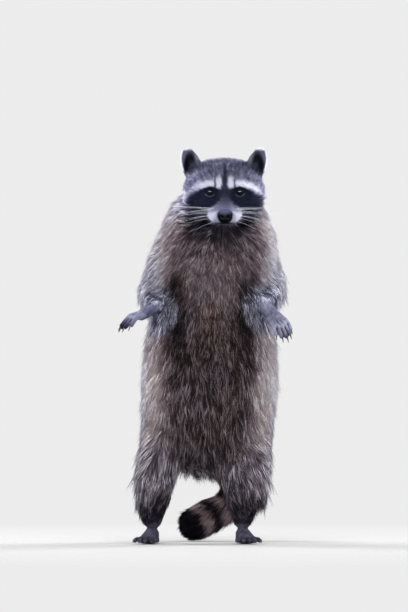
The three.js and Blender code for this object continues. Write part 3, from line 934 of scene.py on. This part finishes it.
# the coat reaches back out to where the skin was sunk from
room = evened(np.clip(dot(tips - p, normal), 0.2, 30), edges, 6)
room = np.where(depth > 2, np.clip(room, depth * 0.9, depth + 7), np.maximum(depth, 0.5))
tone, warm, _ = marks(p, share).T
under = soft(2.5, 8, depth)  # the undercoat is dark between the long hairs
store_marks(skin.data, tone * (1 - 0.58 * under) - 0.02 * under, warm)
dress(skin, SKIN_FUR, "trunk_coat", *FLESH)


# The coat

faces = read(skin.data.polygons, "vertices", 3, np.int32)
tree = BVHTree.FromPolygons([Vector(q) for q in p], faces.tolist())
one, two, three = (p[faces[:, k]] for k in range(3))
areas = np.linalg.norm(np.cross(two - one, three - one), axis=1) / 2

# the corners of a tuft's faces: rings of three at its root and, if it bends, its middle, then its tip
STRAIGHT = ((0, 2, 1), (0, 1, 3), (1, 2, 3), (2, 0, 3))
BENT = ((0, 2, 1), (0, 1, 4), (0, 4, 3), (1, 2, 5), (1, 5, 4), (2, 0, 3), (2, 3, 5), (3, 4, 6), (4, 5, 6),
        (5, 3, 6))
THIRDS = (0, 2.094, 4.189)
FLOOR_GAP, NEAR_FLOOR = 0.3, 3.0  # below NEAR_FLOOR hairs bend along the floor, down to FLOOR_GAP
# lengths from which hairs may be bent, stand out as strays, and have dark tips
BENT_FROM, STRAY_FROM, DARK_TIP_FROM = 13, 14, 15
SHARPEST_BEND, MOST_STRETCH = 0.78, 1.3
LID_EDGE = 1.15  # no hair grows nearer the eyeball than this
TUFT_FLAT = 0.62  # a tuft's thickness as a share of its width
TUFT_UV = (0.0011, 0.0026)  # the room of one tuft on the map


def settle(points, height):
    """The points moved to that height over the skin nearest them, a share of the coat's depth there."""
    hits = [tree.find_nearest(Vector(q)) for q in points]
    on_skin = np.array([tuple(hit[0]) for hit in hits])
    under = faces[[hit[2] for hit in hits]]
    return on_skin + unit(normal[under].mean(1)) * (room[under].mean(1) * height)[:, None]


def sharp(root, mid, tip, L):
    """Which hairs bend by more than they should, or are stretched."""
    bend = dot(unit(mid - root), unit(tip - mid))
    return (bend < SHARPEST_BEND) | (distance(tip, root) > MOST_STRETCH * L)


def curved_share(L):
    """How many of the hairs of that length are modelled with a bend: none of the shortest, all of
    the longest."""
    return np.where(L > BENT_FROM, 0.42 + 0.58 * soft(34, 44, L), 0)


def tuft_mesh(name, rng, bent, spots, tints, up, width, uv):
    """Solid tapered tufts through their root, middle and tip, with their markings and map."""
    root, mid, tip = spots
    vertices, triangles, colours, uvs = [], [], [], []
    base = 0
    for lock, pattern in ((False, STRAIGHT), (True, BENT)):
        mine = np.nonzero(bent == lock)[0]
        if not len(mine):
            continue
        R, T = root[mine] - up[mine] * 0.4, tip[mine]
        wide = width[mine] * rng.uniform(0.75, 1.2, len(mine))
        rings = [(R, wide * 0.36), (mid[mine], wide * 0.5)] if lock else [(R, wide * 0.5)]
        spin = rng.uniform(0, THIRDS[1], len(mine))
        spine = unit(T - R)
        u1 = unit(np.cross(spine, up[mine]))
        u2 = np.cross(spine, u1)
        block, tint, place = [], [], []
        for i, (centre, half) in enumerate(rings):
            for j, third in enumerate(THIRDS):
                turn = third + spin
                block.append(centre + u1 * (np.cos(turn) * half)[:, None]
                             + u2 * (np.sin(turn) * half * TUFT_FLAT)[:, None])
                tint.append(tints[i][mine])
                place.append(uv[mine] + np.array([j - 1, i / len(rings) - 0.5]) * TUFT_UV)
        block.append(T)
        tint.append(tints[2][mine])
        place.append(uv[mine] + np.array([0, TUFT_UV[1] / 2]))
        for kept, values in ((vertices, block), (colours, tint), (uvs, place)):
            kept.append(np.stack(values, 1).reshape(-1, values[0].shape[1]))
        start = base + np.arange(len(mine))[:, None, None] * len(block)
        triangles.append((start + np.array(pattern)[None]).reshape(-1, 3))
        base += len(mine) * len(block)
    V, F, C, UV = (np.concatenate(v) for v in (vertices, triangles, colours, uvs))
    deep = NEAR_FLOOR - FLOOR_GAP
    low = FLOOR_GAP + deep * np.exp(np.minimum(V[:, 2] - NEAR_FLOOR, 0) / deep)
    V[:, 2] = np.where(V[:, 2] < NEAR_FLOOR, low, V[:, 2])
    mesh = bpy.data.meshes.new(name)
    mesh.vertices.add(len(V))
    write(mesh.vertices, "co", V * MM)
    mesh.loops.add(len(F) * 3)
    write(mesh.loops, "vertex_index", F, np.int32)
    mesh.polygons.add(len(F))
    write(mesh.polygons, "loop_start", np.arange(0, len(F) * 3, 3), np.int32)
    write(mesh.polygons, "use_smooth", np.ones(len(F)), bool)
    mesh.update(calc_edges=True)
    write(mesh.uv_layers.new(name="OFBake").data, "uv", np.clip(UV, 0.0005, 0.9995)[F.ravel()])
    store_marks(mesh, C[:, 0], C[:, 1])
    return mesh


def plant(rng, pool, budget):
    """Tufts rooted on those faces, up to a budget of triangles: place, normal, length, width,
    freedom, lie and parts of each root."""
    face_length, face_width = length[faces[pool]].mean(1), width[faces[pool]].mean(1)
    curved = curved_share(face_length)
    need = areas[pool] / (face_length * face_width)
    cost = len(BENT) * curved + len(STRAIGHT) * (1 - curved)
    # short spikes are cheap, so they take their share of the budget with the long locks
    count = budget * DENSITY / (need * cost).sum() * need
    k = np.repeat(pool, rng.poisson(count))
    r1, r2 = np.sqrt(rng.random(len(k))), rng.random(len(k))
    bary = np.stack([1 - r1, r1 * (1 - r2), r1 * r2], 1)
    rooted = [np.einsum("ij,ij...->i...", bary, values[faces[k]])
              for values in (p, normal, length, width, free, lie, share)]
    keep = eye_gap(rooted[0]) > EYE_RADIUS + LID_EDGE
    return [v[keep] for v in rooted]


def comb(rng, seed, root, up, L, loose, way):
    """The way each hair lies, its length, whether it bends, its middle, its tip and its luck with
    the grizzle."""
    n = len(root)
    # along the surface, swirled a little, and turned aside at the eyes
    for side in SIDES:
        d = root - EYE[side]
        away = unit(d)
        into = np.minimum(dot(unit(way), away), 0) * soft(20, 11, np.linalg.norm(d, axis=1))
        way = way - (into * 1.25)[:, None] * away
    along = unit(way - dot(way, up)[:, None] * up)
    side_way = np.cross(up, along)
    swing = 0.30 * ripple(root, 30, seed) + 0.20 * ripple(root, 11, seed + 1) + rng.normal(0, 0.14, n)
    swing = swing * (0.35 + 0.65 * soft(4, 20, L))
    along = unit(along * np.cos(swing)[:, None] + side_way * np.sin(swing)[:, None])
    L = L * rng.uniform(0.72, 1.12, n) * (1 + 0.10 * ripple(root, 17, seed + 2))
    stray = (rng.random(n) < 0.12 + 0.14 * loose) & (L > STRAY_FROM)
    height = rng.uniform(0.66, 1.04, n)
    height[rng.random(n) < 0.28] *= 0.7
    height = height * (1 + 0.14 * ripple(root, 15, seed + 3) * soft(10, 26, L))
    height[stray] *= rng.uniform(1.25, 1.8, n)[stray]
    bent = rng.random(n) < curved_share(L)
    mid = settle(root + along * (L * 0.50)[:, None], 0.62 * height)
    tip = settle(mid + (mid - root) * 0.98, height)
    # where the coat hangs, its ends leave the body and drop
    loose = np.clip(loose * rng.uniform(0.5, 1.4, n), 0, 1)[:, None]
    swung = unit(along * 0.95 + up * rng.uniform(0.16, 0.40, n)[:, None] + np.array([0, 0, -0.12]))
    # a hair that the folds of the body would bend sharply hangs free instead
    loose[sharp(root, mid, tip, L)] = 1
    mid = mid + (root + swung * (L * 0.5)[:, None] - mid) * loose * 0.8
    fall = unit(swung + np.array([0, 0, -0.26]) - up * 0.06)
    tip = tip + (mid + fall * (L * 0.5)[:, None] - tip) * loose
    # locks: hairs draw towards a neighbour's tip
    guides = np.nonzero(rng.random(n) < 0.07 + 0.11 * soft(9, 24, L))[0]
    kd = KDTree(len(guides))
    for i, g in enumerate(guides):
        kd.insert(Vector(root[g]), i)
    kd.balance()
    near = guides[np.array([kd.find(Vector(q))[1] for q in root])]
    pull = (0.78 * soft(9, 24, L) * rng.uniform(0.55, 1.0, n))[:, None]
    shift = (tip[near] - tip) * pull
    shift[sharp(root, mid + shift * 0.38, tip + shift, L)] = 0
    luck = rng.normal(0, 1, n)[near] * 0.72 + rng.normal(0, 1, n) * 0.6
    return L, bent, mid + shift * 0.38, tip + shift, luck


def paint(rng, root, mid, tip, L, luck, part_share):
    """Tone and warmth of each hair at its root, middle and tip."""
    n = len(root)
    jitter = rng.normal(0, 1, (n, 3)) * (0.25 + 0.045 * L)[:, None]
    # the marking is read a little way back towards the root
    (t0, w0, _), (t1, w1, g1), (t2, w2, g2) = (
        marks(spot + (root - spot) * back + jitter, part_share).T
        for spot, back in ((root, 0.0), (mid, 0.28), (tip, 0.34)))
    long_hair = soft(8, 24, L)
    # grizzle: about a third of the hairs run out pale, the rest stay a little darker than the marking
    light = soft(0.15, 0.75, luck)
    t2 = t2 + g2 * (0.95 * light * (0.55 + 0.45 * long_hair) - 0.34)
    t1 = t1 + g1 * (0.55 * light - 0.30)
    t0 = t0 * (1 - 0.55 * long_hair) - 0.04 * long_hair
    dark_tip = (rng.random(n) < 0.12) & (L > DARK_TIP_FROM)
    t2 = np.where(dark_tip, t2 * 0.5, t2)
    return columns(t0, w0), columns(t1, w1), columns(t2, w2)


def coat(name, slot, chosen, budget, unwrap, seed):
    """One piece of the coat, standing on the chosen faces."""
    rng = np.random.default_rng(seed)
    root, up, L, W, loose, way, part_share = plant(rng, np.nonzero(chosen)[0], budget)
    up = unit(up)
    L, bent, mid, tip, luck = comb(rng, seed, root, up, L, loose, way)
    tints = paint(rng, root, mid, tip, L, luck, part_share)
    piece = link(name, tuft_mesh(name, rng, bent, (root, mid, tip), tints, up, W, unwrap(root)))
    piece.data.materials.append(COAT_FUR)
    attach(piece, "root")


# Ways to unwrap the coat: each gives a turn and a height, from 0 to 1

def fitted(turn, up):
    uv = np.stack([turn, up], 1)
    low, high = uv.min(0), uv.max(0)
    return 0.002 + (uv - low) / (high - low) * 0.994


def about(centre, axis):
    axis = unit(np.array(axis, float))
    side = unit(np.cross(axis, np.array([0.31, 0.92, 0.23])))
    other = np.cross(axis, side)

    def unwrap(q):
        d = q - np.array(centre, float)
        return fitted(np.arctan2(d @ other, d @ side), d @ axis)
    return unwrap


def about_head(q):
    d = unit(q - np.array([FACE_X, -40, EYE_Z - 10]))
    return fitted(np.arctan2(d[:, 0], -d[:, 1]), np.arcsin(np.clip(d[:, 2], -1, 1)))


def about_tail(q):
    place, way, centre = tail_place(q)
    d = q - centre
    u = np.cross(way, np.array([0, 1.0, 0.3]))
    return fitted(np.arctan2(dot(d, np.cross(way, unit(u))), dot(d, unit(u))), place)


def on(*parts):
    return is_part(part[faces[:, 0]], *parts)


cx, cy, cz = p[faces].mean(1).T
left = cx > MIDDLE_X
UPRIGHT = (0, 0, 1)
face_front = on("head") & (cy < -48)
trunk_front, chest, upper_back = on("trunk") & (cy < -8), cz > 372, cz > 340
trunk_back = on("trunk") & (cy >= -8)
about_chest, about_belly = about((8, -10, 400), UPRIGHT), about((2, -10, 250), UPRIGHT)
# each piece's name, slot, faces, budget of triangles and unwrap
COAT = (
    ("face_coat", "head_coat", face_front, 162e3, about_head),
    ("crown_coat", "head_coat", (on("head") & ~face_front) | on("ear"), 120e3, about_head),
    ("neck_coat", "neck_coat", on("neck"), 120e3, about((FACE_X, -10, 590), UPRIGHT)),
    ("chest_coat", "trunk_coat", trunk_front & chest, 174e3, about_chest),
    ("belly_coat", "trunk_coat", trunk_front & ~chest, 172e3, about_belly),
    ("upper_back_coat", "trunk_coat", trunk_back & upper_back, 112e3, about_chest),
    ("lower_back_coat", "trunk_coat", trunk_back & ~upper_back, 112e3, about_belly),
    ("left_arm_coat", "arm_coat", on("arm", "hand") & left, 104e3, about(ELBOW["left"], (0.2, -1, -0.5))),
    ("right_arm_coat", "arm_coat", on("arm", "hand") & ~left, 104e3,
     about(ELBOW["right"], (-0.2, -1, -0.5))),
    ("left_leg_coat", "leg_coat", on("leg", "foot") & left, 108e3, about((70, -10, 120), UPRIGHT)),
    ("right_leg_coat", "leg_coat", on("leg", "foot") & ~left, 108e3, about((-90, -10, 120), UPRIGHT)),
    ("tail_coat", "tail_coat", on("tail"), 92e3, about_tail),
)
for i, piece in enumerate(COAT):
    coat(*piece, seed=100 + i * 10)


# Eyes, nose, claws, whiskers

def ball(name, segments, rings, radius=1.0, place=(0, 0, 0), turn=0.0):
    pick()
    bpy.ops.mesh.primitive_uv_sphere_add(segments=segments, ring_count=rings, radius=radius,
                                         location=place, rotation=(turn, 0, 0))
    piece = active()
    piece.name = piece.data.name = name
    bpy.ops.object.transform_apply(location=True, rotation=True, scale=True)
    return piece


def make_eye(side):
    """An eyeball whose clear front stands a little proud."""
    eye = ball("eyeball_" + side, 48, 32, EYE_RADIUS * MM, EYE[side] * MM, math.radians(90))
    mode("EDIT")
    bpy.ops.mesh.select_all(action="DESELECT")
    mode("OBJECT")
    front = points_of(eye.data)[:, 1] < EYE[side][1] - EYE_RADIUS * 0.96
    eye.data.vertices.foreach_set("select", front)
    mode("EDIT")
    bpy.ops.transform.translate(value=(0, -0.35 * MM, 0), use_proportional_edit=True,
                                proportional_size=5 * MM)
    mode("OBJECT")
    dress(eye, DARK_EYE, "eye", "eye_" + side)


def bump_at(u, v, at, spread, slope=0.0, lean_from=0.0):
    """A smooth round or long bump of height 1, which may lean as it runs outwards."""
    return np.exp(-(((u - at[0]) / spread[0]) ** 2)
                  - (((v - at[1] - slope * (u - lean_from)) / spread[1]) ** 2))


def make_nose():
    """The bare pad: broad above, narrow below, a slit nostril each side and a groove down the middle."""
    pad = ball("nose_pad", 96, 72)
    d = points_of(pad.data) * MM
    power = 2.5
    round_off = (np.abs(d) ** power).sum(1) ** (-1 / power)
    x, y, z = (d * round_off[:, None]).T
    ahead = soft(0.1, -0.5, y)
    sx, sz = np.abs(x) * NOSE_HALF[0], z * NOSE_HALF[2]
    # nostrils: a round pit that runs out into a slit towards the cheek
    pit = bump_at(sx, sz, (5.6, -1.2), (2.3, 2.1), 0.4, 5.6)
    slit = bump_at(sx, sz, (9.6, -2.4), (3.2, 1.0), 0.35, 6)
    groove = blob(sx, 0, 0.75) * soft(3, -1, sz)
    dip = blob(sx, 0, 3.2) * soft(-2, 6, sz) * 0.6
    push = ahead * (4.6 * pit + 2.2 * slit + 1.0 * groove + dip)
    wing = ahead * 0.7 * bump_at(sx, sz, (8.5, 1.6), (3, 2.2))
    px = x * NOSE_HALF[0] * (0.93 + 0.07 * z - 0.10 * soft(0, -1, z))
    put_points(pad.data, np.stack([px, y * NOSE_HALF[1] + push - wing, z * NOSE_HALF[2]], 1) + NOSE)
    dress(pad, LEATHER, "nose_leather", "nose")


def make_whisker(root, out, length, droop):
    """One tapered hair from its root, bending down towards its tip."""
    pick()
    bpy.ops.curve.primitive_bezier_curve_add(location=(0, 0, 0))
    line = active().data
    line.bevel_depth, line.bevel_resolution, line.resolution_u = 0.18 * MM, 1, 10
    line.use_fill_caps = True
    tip = root + out * length + np.array([0, 0, -droop])
    bend = root + out * length * 0.45 + np.array([0, 0, droop * 0.10])
    first, last = line.splines[0].bezier_points
    for point, place, radius in ((first, root, 1.0), (last, tip, 0.22)):
        point.handle_left_type = point.handle_right_type = "FREE"
        point.co, point.radius = Vector(place * MM), radius
    first.handle_right = Vector((root + out * length * 0.3) * MM)
    first.handle_left = Vector((root - out * 2) * MM)
    last.handle_left = Vector(bend * 0.4 * MM + tip * 0.6 * MM)
    last.handle_right = Vector((tip + out * 2) * MM)
    bpy.ops.object.convert(target="MESH")
    return active()


def make_whiskers():
    """Four rows each side, the longest hairs furthest back; each row's height below the eyes and count."""
    rng = np.random.default_rng(5)
    for side, o in OUT.items():
        hairs = []
        for row, (b, count) in enumerate(((-33, 3), (-37, 4), (-41, 3), (-46, 1))):
            for k in range(count):
                a = 15 + 3.3 * k + rng.uniform(-0.6, 0.6)
                place, facing, *_ = tree.find_nearest(Vector((FACE_X + o * a, -130, EYE_Z + b)))
                rise = 0.10 - 0.09 * row + rng.uniform(-0.05, 0.05)
                out = unit(np.array([o, -0.22 + 0.13 * k + rng.uniform(-0.05, 0.05), rise]))
                hairs.append(make_whisker(np.array(place) - np.array(facing) * 0.5, out,
                                          (66 + 9 * k - 8 * row) * rng.uniform(0.85, 1.1), 6 + 1.5 * row))
        pick(*hairs)
        bpy.ops.object.join()
        whiskers = active()
        whiskers.name = whiskers.data.name = "whiskers_" + side
        whiskers.data.materials.clear()
        dress(whiskers, WHISKER, "head_coat")


for side in SIDES:
    make_eye(side)
make_nose()
make_whiskers()
CLAWS = [f"{limb}_claw_{side}_{digit}" for limb in ("hand", "foot") for side in SIDES for digit in DIGITS]
for claw_name in CLAWS:
    claw = copy_of([claw_name], claw_name + "_horn")
    modify(claw, "SUBSURF", levels=2, render_levels=2)
    dress(claw, HORN, "claw", claw_name)


# Floor, light, camera

BACKDROP, WHITE, FLOOR_GREY = (0.84, 0.84, 0.84, 1), (1, 1, 1, 1), (0.40, 0.40, 0.40, 1)
FLOOR_RADIUS, FADE_FROM, FADE_TO = 14, 0.3, 1.1
AIR = 0.68  # strength of the even light from all round


def make_stage():
    """A grey floor that the camera sees fade into the backdrop."""
    pick()
    bpy.ops.mesh.primitive_circle_add(vertices=96, radius=FLOOR_RADIUS, fill_type="NGON", location=(0, 0, 0))
    floor = active()
    floor.name = "floor"
    m, tree = new_material("pale_floor")
    shader = surface(tree, 0.75, 0.2, FLOOR_GREY)
    far = add(tree, "VectorMath", {0: add(tree, "TexCoord").outputs["Object"]}, operation="LENGTH")
    spread = add(tree, "MapRange", {"Value": far.outputs["Value"], "From Min": FADE_FROM,
                                    "From Max": FADE_TO})
    seen = maths(tree, "MULTIPLY", spread.outputs["Result"], add(tree, "LightPath").outputs["Is Camera Ray"])
    glow = add(tree, "Emission", {"Color": BACKDROP})
    mix = add(tree, "MixShader", {"Fac": seen, 1: shader.outputs["BSDF"], 2: glow.outputs["Emission"]})
    feed(tree, tree.nodes["Material Output"], {"Surface": mix.outputs["Shader"]})
    floor.data.materials.append(m)


def make_world():
    """Even white light, with the backdrop in its place for the camera and in reflections."""
    world = bpy.data.worlds.new("studio")
    bpy.context.scene.world = world
    world.use_nodes = True
    tree = world.node_tree
    air = tree.nodes["Background"]
    feed(tree, air, {"Color": WHITE, "Strength": AIR})
    shown = add(tree, "Background", {"Color": BACKDROP})
    ray = add(tree, "LightPath")
    mirrored = maths(tree, "MAXIMUM", ray.outputs["Is Glossy Ray"], ray.outputs["Is Transmission Ray"])
    seen = maths(tree, "MAXIMUM", ray.outputs["Is Camera Ray"], mirrored)
    mix = add(tree, "MixShader", {"Fac": seen, 1: air.outputs["Background"], 2: shown.outputs["Background"]})
    feed(tree, tree.nodes["World Output"], {"Surface": mix.outputs["Shader"]})


# each lamp's name, place, size, power, whether it lights surfaces and whether it shows in gloss;
# the eye light is only the highlight in the eyes and on the nose
LAMPS = (("key", (-0.3, -2.7, 2.5), (3.0, 1.0), 72, True, True),
         ("eye_light", (-0.1, -2.6, 1.7), (6.0, 0.8), 1100, False, True),
         ("rim_left", (2.5, 1.3, 1.6), (1.0, 1.6), 140, True, False),
         ("rim_right", (-2.5, 1.3, 1.6), (1.0, 1.6), 140, True, False))
LAMPS_AIM = (0, 0, 0.4)
CAMERA_AT, LENS, SENSOR = (-0.0024, -12.02, 0.42), 399, 36


def softbox(name, place, size, power, diffuse, glossy):
    light = bpy.data.lights.new(name, "AREA")
    light.shape, light.energy = "RECTANGLE", power
    light.size, light.size_y = size
    lamp = link(name, light)
    lamp.location = place
    lamp.visible_glossy, lamp.visible_diffuse = glossy, diffuse
    lamp.rotation_euler = (Vector(LAMPS_AIM) - Vector(place)).to_track_quat("-Z", "Y").to_euler()


def make_camera():
    data = bpy.data.cameras.new("camera")
    data.lens, data.sensor_width, data.sensor_fit = LENS, SENSOR, "AUTO"
    camera = link("camera", data)
    camera.location = CAMERA_AT
    camera.rotation_euler = (math.radians(90), 0, 0)
    bpy.context.scene.camera = camera


make_stage()
make_world()
for lamp in LAMPS:
    softbox(*lamp)
make_camera()
bpy.context.scene.view_settings.view_transform = "Standard"
